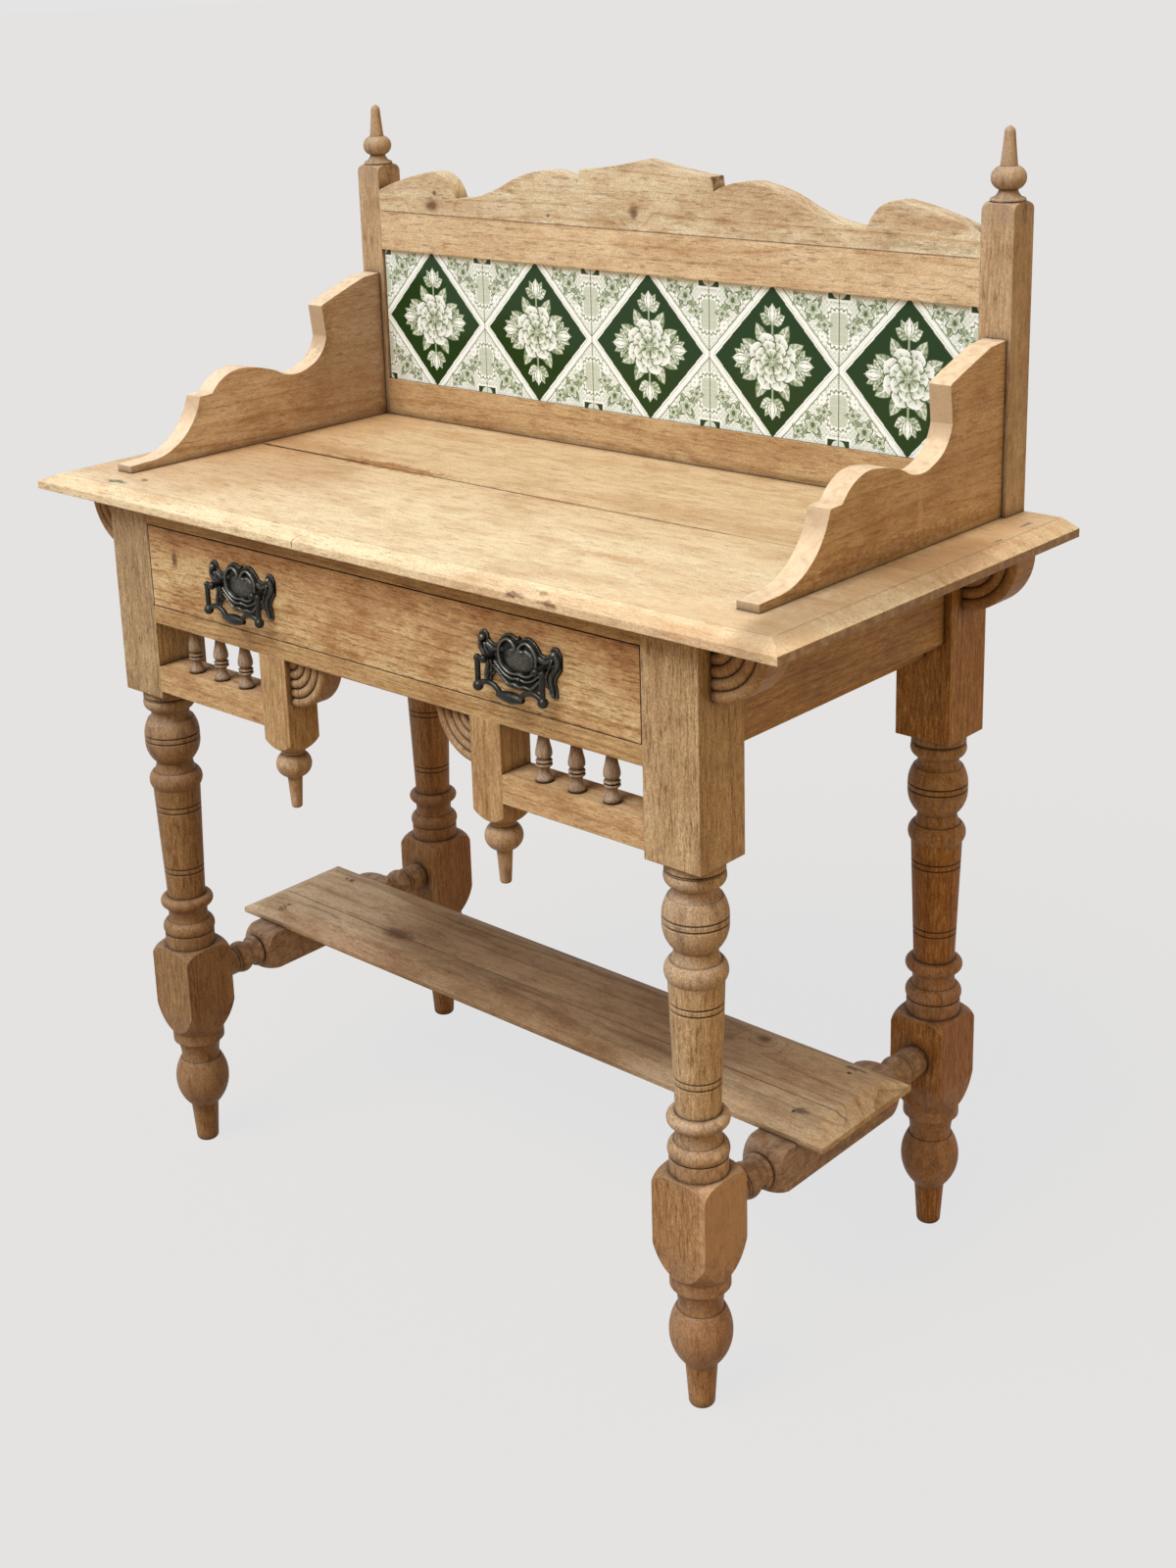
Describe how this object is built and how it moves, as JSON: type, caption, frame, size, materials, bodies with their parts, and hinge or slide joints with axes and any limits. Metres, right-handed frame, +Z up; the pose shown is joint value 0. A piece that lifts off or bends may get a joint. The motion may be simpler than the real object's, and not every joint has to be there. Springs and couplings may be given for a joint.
{
  "type": "washstand",
  "caption": "Tile-backed pine washstand on turned legs, with a bevelled top, shaped side boards, a drawer with swinging bail handles, a spindle gallery and a low shelf.",
  "frame": {"origin": "on the floor under the middle of the top", "axes": "+Z up, -Y towards the user, out of the drawer's front, +X to the user's right"},
  "size_m": [0.932, 0.443, 1.0775],
  "materials": {
    "waxed_pine_top": "stripped and waxed yellow pine",
    "waxed_pine_frame": "stripped and waxed pine, darker",
    "worn_pine_shelf": "worn grey-brown pine",
    "pine_splashback": "stripped pine with knots",
    "rough_pine_inside": "bare, unplaned pine",
    "tile_glaze": "glossy glaze, printed in green",
    "blackened_iron": "blackened casting",
    "plain_steel": "dull with age"
  },
  "bodies": {
    "stand": {"back_rail": "waxed_pine_frame", "corner_bracket_back_left": "waxed_pine_frame", "corner_bracket_back_right": "waxed_pine_frame", "corner_bracket_front_left": "waxed_pine_frame", "corner_bracket_front_right": "waxed_pine_frame", "crest_board": "pine_splashback", "drawer_guide_left": "rough_pine_inside", "drawer_guide_right": "rough_pine_inside", "drawer_kicker_left": "rough_pine_inside", "drawer_kicker_right": "rough_pine_inside", "drawer_rail": "waxed_pine_frame", "drawer_runner_left": "rough_pine_inside", "drawer_runner_right": "rough_pine_inside", "fan_bracket_left": "waxed_pine_frame", "fan_bracket_right": "waxed_pine_frame", "gallery_rail_left": "waxed_pine_frame", "gallery_rail_right": "waxed_pine_frame", "glue_blocks": "rough_pine_inside", "leg_back_left": "waxed_pine_frame", "leg_back_right": "waxed_pine_frame", "leg_front_left": "waxed_pine_frame", "leg_front_right": "waxed_pine_frame", "pendant_post_left": "waxed_pine_frame", "pendant_post_right": "waxed_pine_frame", "shelf_back_board": "worn_pine_shelf", "shelf_front_board": "worn_pine_shelf", "shelf_nails": "plain_steel", "side_gallery_left": "pine_splashback", "side_gallery_right": "pine_splashback", "side_rail_left": "waxed_pine_frame", "side_rail_right": "waxed_pine_frame", "spindles_left": "waxed_pine_frame", "spindles_right": "waxed_pine_frame", "splash_bottom_rail": "pine_splashback", "splash_post_left": "pine_splashback", "splash_post_right": "pine_splashback", "splash_top_rail": "pine_splashback", "stretcher_left": "waxed_pine_frame", "stretcher_right": "waxed_pine_frame", "tile_1": "tile_glaze", "tile_2": "tile_glaze", "tile_3": "tile_glaze", "tile_4": "tile_glaze", "tile_5": "tile_glaze", "tile_backing": "rough_pine_inside", "top_back_board": "waxed_pine_top", "top_front_board": "waxed_pine_top", "top_front_rail": "waxed_pine_frame", "top_screws": "plain_steel"},
    "drawer": {"drawer_front": "waxed_pine_frame", "drawer_side_left": "rough_pine_inside", "drawer_side_right": "rough_pine_inside", "drawer_back": "rough_pine_inside", "drawer_bottom": "rough_pine_inside", "handle_plate_left": "blackened_iron", "handle_plate_right": "blackened_iron", "handle_bolts": "blackened_iron", "handle_nuts": "plain_steel"},
    "bail_left": {"handle_bail_left": "blackened_iron"},
    "bail_right": {"handle_bail_right": "blackened_iron"}
  },
  "joints": [
    {"name": "drawer_slide", "type": "slide", "parent": "stand", "child": "drawer", "axis": [0, -1, 0], "range_m": [0, 0.3]},
    {"name": "bail_left_swing", "type": "hinge", "parent": "drawer", "child": "bail_left", "pos_m": [-0.1735, -0.2145, 0.6655], "axis": [-1, 0, 0], "range_deg": [-5, 165]},
    {"name": "bail_right_swing", "type": "hinge", "parent": "drawer", "child": "bail_right", "pos_m": [0.1855, -0.2145, 0.6655], "axis": [-1, 0, 0], "range_deg": [-5, 165]}
  ]
}
